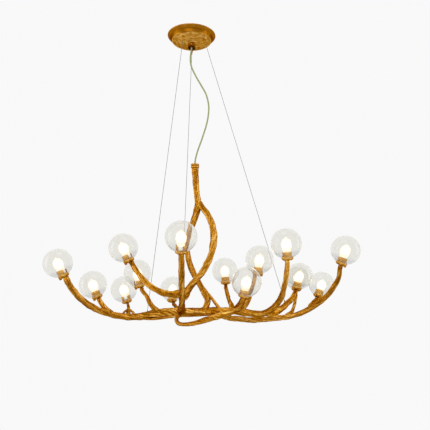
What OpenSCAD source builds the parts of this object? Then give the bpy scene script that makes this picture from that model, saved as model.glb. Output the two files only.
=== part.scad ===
// Branch chandelier: twisted bronze boughs that carry fifteen clear glass globes, hung by three
// steel wires from a ceiling canopy, with a loose supply cord down to the trunk.
// The origin is the middle of the ceiling face. +Z is up, so the whole light hangs below z = 0,
// and the side that is usually looked at faces -Y.

/* [Globes and bulbs] */
// Outside diameter of a clear glass globe
globe_d = 100; // [94:1:104]
// Wall of a globe
globe_wall = 2.5; // [2:0.1:3]
// Diameter of the hole that drops over the collar and the bulb
neck_d = 36.5; // [36:0.1:38]
// Largest diameter of the frosted bulb
bulb_d = 34.5; // [30:0.5:35]
// Height of the bulb's tip above the rim that the globe rests on
bulb_top = 69; // [64:1:72]

/* [Cups] */
// Diameter of the rim that a globe rests on
rim_d = 39; // [38:0.5:44]
// Outside diameter of the two-jaw collar inside the globe's neck
collar_d = 35; // [34:0.1:35.4]
// Height of the collar above the rim
collar_h = 18.6; // [16:0.2:20]
// Width of each window between the collar's two jaws, in degrees
window_angle = 50; // [40:2:90]
// Outside diameter of the white lampholder
holder_d = 26; // [24:0.5:28]

/* [Canopy] */
// Diameter of the canopy at the ceiling
canopy_d = 180; // [170:2:200]
// Height of the hollowed brim
brim_h = 19; // [17:1:21]
// Drop of the shallow bowl below the brim
bowl_drop = 15; // [12:1:18]
// Thickness of the cast canopy
canopy_wall = 2.2; // [1.8:0.1:3]
// Outside diameter of the cord outlet
outlet_d = 29; // [26:1:32]

/* [Branches] */
// Depth of the lengthwise ribs, as a share of the radius
rib_depth = 0.09; // [0:0.01:0.14]
// Turn of the ribs along a branch, in degrees per millimetre
rib_twist = 0.55; // [0:0.05:1]
// How much wider a branch is where it grows out of another, as a share of its radius
root_flare = 0.35; // [0:0.05:0.4]
// Distance between the rings of a branch
ring_step = 14; // [10:1:20]

/* [Suspension] */
// Diameter of a suspension wire
wire_d = 1.5; // [1.2:0.1:2]
// Diameter of the supply cord
cord_d = 6; // [5:0.5:6.4]

/* [Hidden] */
$fn = 96;

function two_digits(n) = n < 10 ? str("0", n) : str(n);
function unit(v) = v / norm(v);
function mix(a, b, t) = a + (b - a) * t;
function ease(t) = let (c = min(max(t, 0), 1)) c * c * (3 - 2 * c);

// ---- Lamps: the middle of each globe, the lean of its cup from upright, the heading of that
// lean, the heading of one of the collar's two windows, how far the stem stands inwards and
// aside under the cup, and whether a cut twig end sits under the cup's outer side.
LAMPS = [
    [[-456,  -59, -852], 26, 184, -25, [4, 0], true],
    [[-361,   38, -933], 23, 170,  16, [4, 0], true],
    [[-228,  -70, -799], 25, 176,  12, [6, 0], true],
    [[-263,  115, -957], 19, 155,  12, [0, 0], false],
    [[-196,   30, -891], 10, 166,  10, [8, 0], true],
    [[ -82,  188, -962], 26,  88,   6, [0, 8], false],
    [[ -16, -229, -766], 10, 270,   5, [0, 0], false],
    [[ 127,  144, -886], 10, 110,  -1, [0, 0], false],
    [[ 193, -112, -912], 12, 330,  -4, [2, 0], true],
    [[ 246,  -24, -840],  8, 335,  -6, [8, 0], true],
    [[ 320, -153, -786],  5, 215, -10, [-3, 0], false],
    [[ 414,  111, -905], 18,  30, -11, [3, 0], true],
    [[ 507,  141, -941], 30,  40, -14, [4, 0], true],
    [[ 539,  -68, -807], 19, 345, -17, [-1, 0], true],
    [[ 427,  225, -920], 15,  60, -11, [0, 0], false]];

seat_depth = sqrt(pow(globe_d / 2, 2) - pow(rim_d / 2, 2));  // globe's middle to its ground edge
cup_base = -9;         // height of the cup's flat underside, from the rim
cup_flat_r = 11;       // radius of that flat underside
cup_floor = 2;         // height that the lampholder stands on
straight_end = 10;     // straight stretch of a stem below its cup
twig_reach = 14.5;     // distance of the cut twig end from the cup's axis
twig_drop = 5;         // how far the twig end reaches below the cup's underside

function lean_axis(n) = let (l = LAMPS[n - 1])
    [sin(l[1]) * cos(l[2]), sin(l[1]) * sin(l[2]), cos(l[1])];
function lean_side(n) = let (l = LAMPS[n - 1])
    [cos(l[1]) * cos(l[2]), cos(l[1]) * sin(l[2]), -sin(l[1])];
function seat(n) = LAMPS[n - 1][0] - seat_depth * lean_axis(n);
// The last two points of a stem: it comes up square to the flat underside of its cup.
function stem_end(n) =
    let (place = LAMPS[n - 1][4], aside = cross(lean_axis(n), lean_side(n)),
         foot = seat(n) + cup_base * lean_axis(n) - place[0] * lean_side(n) - place[1] * aside)
    [foot - straight_end * lean_axis(n), foot];

module at_lamp(n) {
    l = LAMPS[n - 1];
    translate(seat(n)) rotate([0, 0, l[2]]) rotate([0, l[1], 0]) children();
}

// ---- A branch is a swept tube with three twisted ribs, which flares at its root, where it grows
// out of another branch. A limb is [route, radii at even steps along it, has a root at its start,
// has a root at its end].
LIMB_SIDES = 12;
RIBS = 3;
ROOT_SINK = 10;        // how deep a root's end lies in its parent; the flare is widest there
ROOT_FLARE_H = 24;     // length of the flare from there on
function curve_point(a, b, c, d, t) = 0.5 * (2 * b + (c - a) * t
    + (2 * a - 5 * b + 4 * c - d) * t * t + (3 * b - a - 3 * c + d) * t * t * t);
function smooth_route(p, step) = let (last = len(p) - 1) concat(
    [for (i = [0:last - 1])
        let (a = p[max(i - 1, 0)], b = p[i], c = p[i + 1], d = p[min(i + 2, last)],
             parts = max(1, round(norm(c - b) / step)))
        for (j = [0:parts - 1]) curve_point(a, b, c, d, j / parts)],
    [p[last]]);
function tangents(p) = let (last = len(p) - 1)
    [for (i = [0:last]) unit(p[min(i + 1, last)] - p[max(i - 1, 0)])];
function any_normal(t) = unit(cross(t, abs(t[1]) < 0.8 ? [0, 1, 0] : [1, 0, 0]));
function carried_normals(t) = [for (i = 0, u = any_normal(t[0]); i < len(t);
    u = i + 1 < len(t) ? unit(u - (u * t[i + 1]) * t[i + 1]) : u, i = i + 1) u];
function lengths(p) = [for (i = 0, s = 0; i < len(p);
    s = i + 1 < len(p) ? s + norm(p[i + 1] - p[i]) : s, i = i + 1) s];

function limb_radius(limb, s, whole) =
    let (radii = limb[1], place = s / whole * (len(radii) - 1),
         before = min(floor(place), len(radii) - 2),
         plain = mix(radii[before], radii[before + 1], place - before),
         knots = 1 + 0.035 * sin(s * 3.1) + 0.025 * sin(s * 7.7 + 40),
         to_root = min(limb[2] ? s : whole, limb[3] ? whole - s : whole),
         flare = 1 + root_flare
             * ease(min(to_root / ROOT_SINK, 1 - (to_root - ROOT_SINK) / ROOT_FLARE_H)))
    plain * knots * flare;
function limb_rings(limb) =
    let (p = smooth_route(limb[0], ring_step), t = tangents(p), u = carried_normals(t),
         s = lengths(p), whole = s[len(p) - 1])
    [for (i = [0:len(p) - 1])
        let (v = cross(t[i], u[i]), r = limb_radius(limb, s[i], whole))
        [for (k = [0:LIMB_SIDES - 1])
            let (a = 360 * k / LIMB_SIDES + rib_twist * s[i],
                 rr = r * (1 + rib_depth * cos(360 * RIBS * k / LIMB_SIDES)))
            p[i] + rr * cos(a) * u[i] + rr * sin(a) * v]];

// One closed skin over a list of rings.
module skin(rings) {
    n = len(rings[0]);
    last = len(rings) - 1;
    sides = [for (i = [0:last - 1]) for (k = [0:n - 1])
        let (a = i * n + k, b = i * n + (k + 1) % n) each [[a, a + n, b], [b, a + n, b + n]]];
    caps = concat([[for (k = [0:n - 1]) k]], [[for (k = [0:n - 1]) last * n + n - 1 - k]]);
    polyhedron(points = [for (r = rings) each r], faces = concat(sides, caps), convexity = 8);
}
module limb(l) { skin(limb_rings(l)); }
// A limb cut square across at one of its route's own points: the stretch before or after it.
function ring_at(l, point) = let (p = smooth_route(l[0], ring_step))
    [for (i = [0:len(p) - 1]) if (norm(p[i] - point) < 0.01) i][0];
module limb_before(l, point) {
    rings = limb_rings(l);
    skin([for (i = [0:ring_at(l, point)]) rings[i]]);
}
module limb_after(l, point) {
    rings = limb_rings(l);
    skin([for (i = [ring_at(l, point):len(rings) - 1]) rings[i]]);
}
// The stretch of a limb whose rings lie within reach of a point.
module limb_near(l, point, reach) {
    rings = limb_rings(l);
    near = [for (r = rings) if (norm(r[0] - point) < reach) r];
    skin(near);
}

// ---- Routes, from the hub or the parent branch outwards.
HUB = [-32, -8, -1026];
MAIN_BOUGH = [concat([for (i = [1, 0]) stem_end(1)[i]], [[-412, -46, -936], [-391, -34, -966],
    [-362, -17, -997], [-328, 3, -1022], [-294, 18, -1036], [-260, 27, -1044], [-226, 30, -1048],
    [-192, 28, -1047], [-158, 22, -1042], [-120, 14, -1034], [-77, 4, -1028], HUB,
    [9, -6, -1026], [44, -2, -1026], [80, -3, -1025], [114, -6, -1024],
    [148, -10, -1021], [180, -16, -1023], [208, -22, -1027], [238, -32, -1029], [263, -46, -1023],
    [282, -64, -1009], [298, -86, -988], [309, -109, -961], [315, -128, -931], [319, -142, -898]],
    stem_end(11)), [9.5, 10, 10.5, 10.6, 13.5, 15.5, 15.5, 13.5, 11.5, 9.8, 8.2, 7.3], false, false];
LOWER_BOUGH = [concat([[86, 0, -1031], [112, 9, -1041], [140, 16, -1050], [180, 27, -1056],
    [216, 37, -1061], [246, 45, -1062], [280, 52, -1061], [314, 58, -1058], [347, 62, -1055],
    [380, 62, -1048], [413, 57, -1036], [444, 47, -1018], [473, 30, -995], [495, 10, -968],
    [510, -12, -937], [522, -32, -906]], stem_end(14)), [10, 10.5, 11, 10.5, 8.8, 7.5], true, false];
BRANCH_02 = [concat([[-283, 21, -1041], [-304, 24, -1022], [-322, 27, -1003]], stem_end(2)),
    [8.5, 8], true, false];
BRANCH_03 = [concat([[-24, -136, -949], [-48, -133, -950], [-70, -128, -949], [-98, -120, -941],
    [-131, -109, -924], [-160, -97, -899], [-183, -87, -871]], stem_end(3)), [10, 9.5, 8.4, 7.8],
    true, false];
BRANCH_04 = [concat([[-227, 30, -1046], [-229, 42, -1035], [-233, 62, -1024], [-239, 88, -1021]],
    stem_end(4)),
    [6, 5.2, 5], true, false];
TRIPOD_LEGS = [for (x = [-252, -197])
    [[[x, 28, -1048], [mix(x, -231, 0.45), 36, -1032], [-232, 58, -1024]], [4, 3.6], false, false]];
BRANCH_05 = [concat([[-113, 12, -1030], [-131, 11, -1015], [-146, 12, -996], [-158, 16, -974]],
    stem_end(5)), [8, 7], true, false];
BRANCH_06 = [concat([[-37, 0, -1023], [-48, 30, -1019], [-57, 65, -1017], [-64, 100, -1016]],
    stem_end(6)), [8, 6.5, 5.5], true, false];
BRANCH_07 = [concat([[-31, -8, -1022], [-27, -50, -1004], [-22, -104, -974], [-18, -158, -934],
    [-16, -200, -885]], stem_end(7)), [12, 10, 9, 8.8], true, false];
BRANCH_08 = [concat([[149, -10, -1020], [147, 22, -1006], [141, 62, -993], [136, 104, -976]],
    stem_end(8)), [8.5, 6.8, 6.6], true, false];
BRANCH_09 = [concat([[-34, -10, -1026], [-43, -28, -1038], [-46, -38, -1048], [-39, -46, -1058],
    [-22, -50, -1062], [4, -48, -1061], [32, -46, -1055], [62, -42, -1046], [94, -36, -1037],
    [122, -32, -1029], [148, -36, -1018], [169, -52, -1003]], stem_end(9)),
    [6.5, 6.5, 9, 11, 11, 9.5], true, false];
BRANCH_10 = [concat([[168, -14, -1020], [185, -16, -1011], [197, -17, -998], [205, -18, -984],
    [213, -18, -963], [222, -19, -934]], stem_end(10)), [9.5, 7.5, 7], true, false];
BRANCH_12 = [concat([[266, -50, -1022], [288, -30, -1027], [310, -8, -1023], [330, 15, -1016],
    [346, 36, -1008], [361, 56, -999], [376, 73, -988]], stem_end(12)), [10.5, 11.2, 9, 7.8],
    true, false];
BRANCH_13 = [concat([[439, 48, -1019], [448, 64, -1012], [458, 82, -1005]], stem_end(13)),
    [7.5, 7.5], true, false];
BRANCH_15 = [concat([[352, 64, -1052], [369, 82, -1045], [384, 106, -1036], [395, 132, -1024],
    [404, 156, -1010], [411, 178, -995]], stem_end(15)), [6.5, 5.5, 6.5], true, false];

CROTCH = [27, 1, -640];
STEM = [[[15, 0, -511], [15, 0, -523], [17, 0, -540], [19, 0, -570], [23, 0, -605], CROTCH,
    [21, 3, -668], [10, 8, -700], [-3, 15, -739], [-12, 22, -778], [-13, 26, -808], [-9, 29, -838],
    [0, 31, -870], [15, 31, -903], [33, 29, -934], [51, 24, -963], [62, 16, -987],
    [58, 6, -1007], [46, 0, -1021], [30, -3, -1027]], [11.5, 11, 12, 10.5, 10, 10.5, 11, 9],
    false, true];
RIGHT_STRAND = [[[24, 0, -628], [41, -1, -652], [62, -4, -680], [78, -11, -714], [84, -20, -754],
    [81, -29, -789], [74, -40, -823], [60, -53, -857], [44, -66, -885], [22, -80, -910],
    [3, -94, -933], [-10, -106, -953], [-20, -114, -967]], [6.5, 11.5, 11.5, 10.5, 10.5, 10.5],
    true, true];
STRAIGHT_STRAND = [[[27, 30, -924], [45, 25, -945], [65, 18, -967], [85, 8, -990],
    [104, -3, -1014], [112, -6, -1024]], [5.5, 5.5], false, false];
UNDER_STRAND = [[[-24, -10, -1028], [-48, -9, -1036], [-80, -2, -1044], [-114, 7, -1050],
    [-146, 14, -1053], [-178, 24, -1051]], [5, 5], false, false];

CORD_ROUTE = [[0, 0, -46], [-1, 0, -60], [-4, -1, -84], [-1, -2, -118], [15, -4, -156],
    [36, -6, -194], [54, -8, -228], [63, -8, -261], [65, -8, -294], [58, -6, -340],
    [42, -4, -393], [26, -2, -438], [17, 0, -470], [15, 0, -486], [15, 0, -498]];

module bronze() { color([0.70, 0.47, 0.10]) children(); }

// A limb that ends on one or more parents: their own skins are taken out of it, so that each
// joint is a saddle cut with no gap. Each parent is [limb, point, reach].
module seated_limb(l, parents) {
    bronze() difference() {
        limb(l);
        for (p = parents) limb_near(p[0], p[1], p[2]);
    }
}

module trunk() { bronze() limb_before(STEM, CROTCH); }
module left_strand() {
    bronze() difference() {
        limb_after(STEM, CROTCH);
        limb_near(MAIN_BOUGH, [40, -1, -1030], 55);
    }
}
module right_strand() {
    seated_limb(RIGHT_STRAND, [[STEM, CROTCH, 62], [BRANCH_07, RIGHT_STRAND[0][12], 45]]);
}
module thin_strands() {
    seated_limb(STRAIGHT_STRAND, [[STEM, [48, 25, -955], 62],
        [MAIN_BOUGH, [112, -6, -1024], 40]]);
    seated_limb(UNDER_STRAND, [[MAIN_BOUGH, [-100, 8, -1034], 115], [BRANCH_09, [-34, -10, -1026], 36]]);
}
module left_bough() { bronze() limb_before(MAIN_BOUGH, HUB); }
module right_bough() { bronze() limb_after(MAIN_BOUGH, HUB); }
module lower_bough() { seated_limb(LOWER_BOUGH, [[MAIN_BOUGH, LOWER_BOUGH[0][0], 80]]); }
module branch_02() { seated_limb(BRANCH_02, [[MAIN_BOUGH, BRANCH_02[0][0], 42]]); }
module branch_03() { seated_limb(BRANCH_03, [[BRANCH_07, BRANCH_03[0][0], 42]]); }
module branch_04() {
    seated_limb(BRANCH_04, [[MAIN_BOUGH, BRANCH_04[0][0], 36]]);
    for (leg = TRIPOD_LEGS)
        seated_limb(leg, [[MAIN_BOUGH, leg[0][0], 36], [BRANCH_04, leg[0][2], 40]]);
}
module branch_05() { seated_limb(BRANCH_05, [[MAIN_BOUGH, BRANCH_05[0][0], 46]]); }
module branch_06() { seated_limb(BRANCH_06, [[MAIN_BOUGH, BRANCH_06[0][0], 40]]); }
module branch_07() { seated_limb(BRANCH_07, [[MAIN_BOUGH, HUB, 46]]); }
module branch_08() { seated_limb(BRANCH_08, [[MAIN_BOUGH, BRANCH_08[0][0], 40]]); }
module branch_09() {
    seated_limb(BRANCH_09, [[MAIN_BOUGH, HUB, 46], [MAIN_BOUGH, [108, -5, -1027], 60],
        [BRANCH_07, BRANCH_07[0][0], 45]]);
}
module branch_10() { seated_limb(BRANCH_10, [[MAIN_BOUGH, BRANCH_10[0][0], 60]]); }
module branch_12() { seated_limb(BRANCH_12, [[MAIN_BOUGH, BRANCH_12[0][0], 46]]); }
module branch_13() { seated_limb(BRANCH_13, [[LOWER_BOUGH, BRANCH_13[0][0], 40]]); }
module branch_15() { seated_limb(BRANCH_15, [[LOWER_BOUGH, BRANCH_15[0][0], 40]]); }

// ---- Cups, lampholders, bulbs and globes, drawn upright with the globe's seat at z = 0.
module cup(windows, twig) {
    rim_r = rim_d / 2;
    collar_r = collar_d / 2;
    bore_r = collar_r - 2;
    sill_z = 4;
    twig_r = 4.4;
    twig_top = -5;
    twig_foot = cup_base - twig_drop;
    difference() {
        union() {
            rotate_extrude() polygon([[0, cup_base], [cup_flat_r, cup_base], [rim_r - 4, -7.2],
                [rim_r - 1.3, -4.8], [rim_r, -2.4], [rim_r, -0.8], [rim_r - 0.5, 0], [collar_r, 0],
                [collar_r, collar_h - 1], [collar_r - 0.6, collar_h], [bore_r + 0.4, collar_h],
                [bore_r, collar_h - 1], [bore_r, cup_floor], [0, cup_floor]]);
            if (twig) translate([twig_reach, 0, twig_foot]) rotate([0, 6, 0])
                cylinder(r1 = twig_r - 1, r2 = twig_r, h = twig_top - twig_foot);
        }
        for (side = [0, 180]) rotate([0, 0, windows + side - window_angle / 2])
            translate([0, 0, sill_z]) rotate_extrude(angle = window_angle)
                translate([bore_r - 1, 0]) square([4, collar_h]);
    }
}
module lampholder() {
    holder_h = 15;
    bore_r = 7.3;
    translate([0, 0, cup_floor]) difference() {
        rotate_extrude() polygon([[0, 0], [holder_d / 2 - 1, 0], [holder_d / 2, 1],
            [holder_d / 2, holder_h - 1.4], [holder_d / 2 - 1.4, holder_h], [0, holder_h]]);
        translate([0, 0, 4]) cylinder(r = bore_r, h = holder_h);
    }
}
module globe() {
    difference() {
        translate([0, 0, seat_depth]) sphere(r = globe_d / 2);
        translate([0, 0, seat_depth]) sphere(r = globe_d / 2 - globe_wall);
        translate([0, 0, -10]) cylinder(r = neck_d / 2, h = 30);
        translate([-globe_d / 2, -globe_d / 2, -20]) cube([globe_d, globe_d, 20]);
    }
}
// A bud-shaped envelope: a neck, a round belly and a small drawn tip, on a screw cap.
module bulb() {
    belly_r = bulb_d / 2;
    belly_z = 41;
    neck_r = 12.2;
    neck_z = cup_floor + 15.3;
    shoulder_z = bulb_top - 5;
    cap_r = 6.9;
    cap_z = cup_floor + 4.3;
    lower = [for (i = [0:7]) let (t = i / 7)
        [mix(neck_r, belly_r, ease(t)), mix(neck_z + 2, belly_z, t)]];
    upper = [for (i = [1:8]) let (a = 90 * i / 9)
        [belly_r * cos(a), belly_z + (shoulder_z - belly_z) * sin(a)]];
    tip = [[2.4, shoulder_z + 0.6], [1.6, shoulder_z + 2.6], [0.9, bulb_top - 0.5], [0, bulb_top]];
    rotate_extrude() polygon(concat(
        [[0, cap_z], [cap_r - 2.9, cap_z], [cap_r, cap_z + 2.2], [cap_r, neck_z],
         [neck_r, neck_z]], lower, upper, tip));
}

module lamp_cups() {
    for (n = [1:15]) bronze() at_lamp(n) cup(LAMPS[n - 1][3] - LAMPS[n - 1][2], LAMPS[n - 1][5]);
}
module lampholders() { for (n = [1:15]) color([0.93, 0.93, 0.90]) at_lamp(n) lampholder(); }
module one_globe(n) { color([0.90, 0.92, 0.88, 0.35]) at_lamp(n) globe(); }
module one_bulb(n) { color([1.0, 0.97, 0.90]) at_lamp(n) bulb(); }

// ---- Canopy and what is inside it.
canopy_r = canopy_d / 2;
canopy_edge = 2.5;   // width of the canopy's edge against the ceiling
cove_r = brim_h - 4;
bead_w = 4.5;        // width of the step ring round the bowl
bowl_r = canopy_r - cove_r - bead_w - 0.5;
flat_r = 16;
function bowl_z(r) = -brim_h - 1 - bowl_drop * (1 - pow(r / bowl_r, 2));
bowl_floor = bowl_z(flat_r);
nipple_r = 5;
nipple_bore_r = 3.2;
nipple_end = bowl_floor - 5;
WIRE_HOLES = [[-28, -50], [-2, 57], [50, -27]];
boss_r = 6;
boss_bottom = -28;
boss_top = -20;
stud_r = 3;

module canopy() {
    cove = [for (a = [0:10:90]) [canopy_r - cove_r * sin(a), -brim_h + cove_r * cos(a)]];
    cove_in = [for (a = [90:-15:0]) let (r = cove_r + canopy_wall)
        [canopy_r - canopy_edge - r * sin(a), -brim_h + r * cos(a)]];
    bead = [[bowl_r + bead_w, -brim_h - 2], [bowl_r + bead_w - 1.5, -brim_h - 3],
        [bowl_r + 1, -brim_h - 2.4]];
    bowl = [for (i = [0:6]) let (r = mix(bowl_r, flat_r, i / 6)) [r, bowl_z(r)]];
    bowl_in = [for (i = [0:6]) let (r = mix(flat_r, bowl_r - 1.5, i / 6))
        [r, bowl_z(r) + canopy_wall]];
    hole_r = nipple_r + 0.2;
    bronze() difference() {
        union() {
            rotate_extrude() polygon(concat([[canopy_r - canopy_edge, 0], [canopy_r, 0]], cove, bead,
                bowl, [[hole_r, bowl_floor], [hole_r, bowl_floor + canopy_wall]], bowl_in, cove_in));
            for (h = WIRE_HOLES) translate([h[0], h[1], boss_bottom])
                cylinder(r = boss_r, h = boss_top - boss_bottom);
        }
        for (h = WIRE_HOLES) translate([h[0], h[1], -40]) cylinder(r = stud_r + 0.1, h = 40);
    }
}

bracket_t = 2;
bracket_w = 22;
bracket_l = 124;
bracket_foot_h = 14;
slot_x = 40;         // from the middle to the middle of each ceiling-screw slot
slot_length = 20;
slot_r = 2.6;
module ceiling_bracket() {
    color([0.72, 0.73, 0.75]) difference() {
        union() {
            translate([-bracket_l / 2, -bracket_w / 2, -bracket_t])
                cube([bracket_l, bracket_w, bracket_t]);
            for (x = [-bracket_l / 2, bracket_l / 2 - bracket_t])
                translate([x, -bracket_w / 2, -bracket_foot_h])
                    cube([bracket_t, bracket_w, bracket_foot_h]);
        }
        translate([0, 0, -5]) cylinder(r = nipple_r + 0.1, h = 10);
        for (side = [-1, 1]) {
            for (end = [-1, 1])
                translate([side * slot_x + end * (slot_length / 2 - slot_r), 0, -5])
                    cylinder(r = slot_r, h = 10);
            translate([side * slot_x - slot_length / 2 + slot_r, -slot_r, -5])
                cube([slot_length - 2 * slot_r, 2 * slot_r, 10]);
        }
    }
}
module threaded_nipple() {
    nut_r = 9;
    nut_h = 4;
    color([0.78, 0.66, 0.32]) rotate_extrude() polygon([[nipple_bore_r, -0.8], [nipple_r, -0.8],
        [nipple_r, -bracket_t], [nut_r, -bracket_t], [nut_r, -bracket_t - nut_h],
        [nipple_r, -bracket_t - nut_h], [nipple_r, nipple_end], [nipple_bore_r, nipple_end]]);
}
outlet_mouth = bowl_floor - 18;
module cord_outlet() {
    r = outlet_d / 2;
    socket_r = nipple_r + 0.05;
    grip = nipple_end - 2;
    cord_start = CORD_ROUTE[0][2];
    bronze() rotate_extrude() polygon([[socket_r, bowl_floor], [r, bowl_floor],
        [r - 0.6, bowl_floor - 5], [r - 1, bowl_floor - 10], [r, outlet_mouth + 1.5],
        [r - 0.6, outlet_mouth], [r - 2, outlet_mouth], [r - 2.8, outlet_mouth + 4],
        [r - 2.8, grip - 0.6], [r - 3.4, grip], [5.4, grip], [4.6, cord_start], [0, cord_start],
        [0, nipple_end - 0.05], [socket_r, nipple_end - 0.05]]);
}
module terminal_block() {
    block = [34, 18, 14];
    way_step = 10;       // from one pair of wires to the next
    entry_r = 2.2;
    screw_r = 1.8;
    color([0.88, 0.88, 0.84]) translate([13, -block[1] / 2, -bracket_t - block[2]]) difference() {
        cube(block);
        for (i = [0:2]) translate([7 + i * way_step, -1, 5]) rotate([-90, 0, 0])
            cylinder(r = entry_r, h = block[1] + 2);
        for (i = [0:2]) for (y = [block[1] / 4, block[1] * 3 / 4])
            translate([7 + i * way_step, y, -1]) cylinder(r = screw_r, h = 5);
    }
}

// ---- Cord, wires and their fittings.
CORD_SIDES = 10;
function cord_rings() =
    let (p = smooth_route(CORD_ROUTE, 13), t = tangents(p), u = carried_normals(t), n = len(p) - 1)
    [for (i = [0:n])
        let (level = i == 0 || i == n, x = level ? [1, 0, 0] : u[i],
             y = level ? [0, -1, 0] : cross(t[i], u[i]))
        [for (k = [0:CORD_SIDES - 1]) let (a = 360 * k / CORD_SIDES)
            p[i] + cord_d / 2 * (cos(a) * x + sin(a) * y)]];
module power_cord() { color([0.55, 0.57, 0.40]) skin(cord_rings()); }

WIRE_FEET = [[-159, 31, -1038], [-27, -58, -990], [346, 37, -1002]];
ball_r = 3.6;
sleeve_h = 12;
function wire_head(i) = [WIRE_HOLES[i][0], WIRE_HOLES[i][1], boss_bottom - 5];
function wire_way(i) = unit(WIRE_FEET[i] - wire_head(i));
module along(v) {
    rotate([0, acos(v[2]), atan2(v[1], v[0])]) children();
}
module suspension_wires() {
    color([0.80, 0.81, 0.80]) for (i = [0:2])
        translate(wire_head(i) + sleeve_h * wire_way(i)) along(wire_way(i))
            cylinder(r = wire_d / 2, h = norm(WIRE_FEET[i] - wire_head(i)) - 2 * sleeve_h, $fn = 24);
}
module wire_fittings() {
    flange_r = 5;
    nut_r = 5.5;
    stud_foot = boss_bottom - 3.4;
    bronze() for (i = [0:2]) {
        translate([WIRE_HOLES[i][0], WIRE_HOLES[i][1], 0]) rotate_extrude() polygon([
            [0, boss_top + 5], [stud_r, boss_top + 5], [stud_r, boss_bottom], [flange_r, boss_bottom],
            [flange_r, stud_foot + 1], [ball_r, stud_foot], [0, stud_foot]]);
        translate(wire_head(i)) sphere(r = ball_r);
        translate(wire_head(i)) along(wire_way(i)) cylinder(r1 = 3, r2 = 2, h = sleeve_h);
        translate([WIRE_HOLES[i][0], WIRE_HOLES[i][1], boss_top]) difference() {
            cylinder(r = nut_r, h = 3.5);
            translate([0, 0, -1]) cylinder(r = stud_r, h = 6);
        }
        translate(WIRE_FEET[i] - sleeve_h * wire_way(i)) along(wire_way(i))
            cylinder(r1 = 2, r2 = 3, h = sleeve_h);
    }
}
ferrule_top = -491;
ferrule_foot = STEM[0][0][2];
cord_end = CORD_ROUTE[len(CORD_ROUTE) - 1][2];
module trunk_ferrule() {
    bore = cord_d / 2 + 0.3;
    bronze() translate([STEM[0][0][0], 0, 0]) rotate_extrude() polygon([
        [bore, ferrule_top], [13.6, ferrule_top], [15.4, ferrule_top - 1.4],
        [15.6, ferrule_top - 4.6], [13.8, ferrule_top - 6.6], [13.6, ferrule_top - 8],
        [15, ferrule_top - 10], [15.2, ferrule_top - 13], [13.6, ferrule_top - 15.5],
        [12.6, ferrule_foot], [0, ferrule_foot], [0, cord_end], [bore, cord_end]]);
}

canopy();
ceiling_bracket();
threaded_nipple();
cord_outlet();
terminal_block();
power_cord();
suspension_wires();
wire_fittings();
trunk_ferrule();
trunk();
left_strand();
right_strand();
thin_strands();
left_bough();
right_bough();
lower_bough();
branch_02();
branch_03();
branch_04();
branch_05();
branch_06();
branch_07();
branch_08();
branch_09();
branch_10();
branch_12();
branch_13();
branch_15();
lamp_cups();
lampholders();
for (n = [1:15]) one_globe(n);
for (n = [1:15]) one_bulb(n);
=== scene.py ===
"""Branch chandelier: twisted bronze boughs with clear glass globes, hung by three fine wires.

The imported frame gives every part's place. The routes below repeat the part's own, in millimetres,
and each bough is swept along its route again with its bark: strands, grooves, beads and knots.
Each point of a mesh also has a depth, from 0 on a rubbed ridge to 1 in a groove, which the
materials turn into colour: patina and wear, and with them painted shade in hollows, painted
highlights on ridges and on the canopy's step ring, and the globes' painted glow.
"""
import math
from collections import namedtuple

import bpy
import numpy as np
from mathutils import Matrix, Vector


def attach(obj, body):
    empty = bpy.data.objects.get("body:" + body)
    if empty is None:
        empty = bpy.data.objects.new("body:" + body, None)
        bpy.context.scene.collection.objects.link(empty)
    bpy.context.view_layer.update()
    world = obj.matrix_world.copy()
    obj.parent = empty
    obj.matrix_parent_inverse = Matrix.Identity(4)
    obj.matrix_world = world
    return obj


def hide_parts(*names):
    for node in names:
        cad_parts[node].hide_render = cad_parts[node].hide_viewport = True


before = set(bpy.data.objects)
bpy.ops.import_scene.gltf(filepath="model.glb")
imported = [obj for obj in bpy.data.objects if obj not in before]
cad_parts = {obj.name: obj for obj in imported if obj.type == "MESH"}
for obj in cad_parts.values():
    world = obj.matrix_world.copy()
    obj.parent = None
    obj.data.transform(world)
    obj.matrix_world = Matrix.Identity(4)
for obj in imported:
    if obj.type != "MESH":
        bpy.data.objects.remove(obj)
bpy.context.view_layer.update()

MM = 0.001
TURN = 2 * math.pi


# ---- Camera: the photograph's viewpoint, level with the upper globes and tilted up a little.
CAMERA_PLACE = (0.0883, -1.516, -0.811)
CAMERA_PITCH = 4.96      # degrees over the horizon
CAMERA_LENS = 35         # over this sensor it gives a focal length of 418 pixels in 430
CAMERA_SENSOR = 36


def add_camera():
    data = bpy.data.cameras.new("camera")
    data.lens = CAMERA_LENS
    data.sensor_width = CAMERA_SENSOR
    camera = bpy.data.objects.new("camera", data)
    camera.location = CAMERA_PLACE
    camera.rotation_euler = (math.radians(90 + CAMERA_PITCH), 0, 0)
    bpy.context.collection.objects.link(camera)
    bpy.context.scene.camera = camera


add_camera()


# ---- Noise. These numbers mix a corner's place and the seed into one of HASH_VALUES values.
AXIS_PRIMES = np.array([73856093, 19349663, 83492791])
SEED_STEP, SEED_START = 97531, 12345
HASH_FACTOR, HASH_MASK = 1274126177, 0x7FFFFFFF
HASH_VALUES = 20011


def ease(t):
    """From 0 to 1 as t goes from 0 to 1, level at both ends and flat beyond them."""
    t = np.clip(t, 0, 1)
    return t * t * (3 - 2 * t)


def noise(points, seed=0):
    """Smooth value noise from -1 to 1 at each of the points (n, 3), alike on every run."""
    points = np.asarray(points, float)
    base = np.floor(points).astype(np.int64)
    t = ease(points - base)
    total = np.zeros(len(points))
    for corner in np.ndindex(2, 2, 2):
        x, y, z = ((base + corner) * AXIS_PRIMES).T
        mixed = x ^ y ^ z ^ (seed * SEED_STEP + SEED_START)
        mixed = ((mixed ^ (mixed >> 13)) * HASH_FACTOR) & HASH_MASK
        mixed = (mixed ^ (mixed >> 15)) % HASH_VALUES
        weight = np.prod(np.where(corner, t, 1 - t), axis=1)
        total += weight * (mixed / ((HASH_VALUES - 1) / 2) - 1)
    return total


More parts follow.
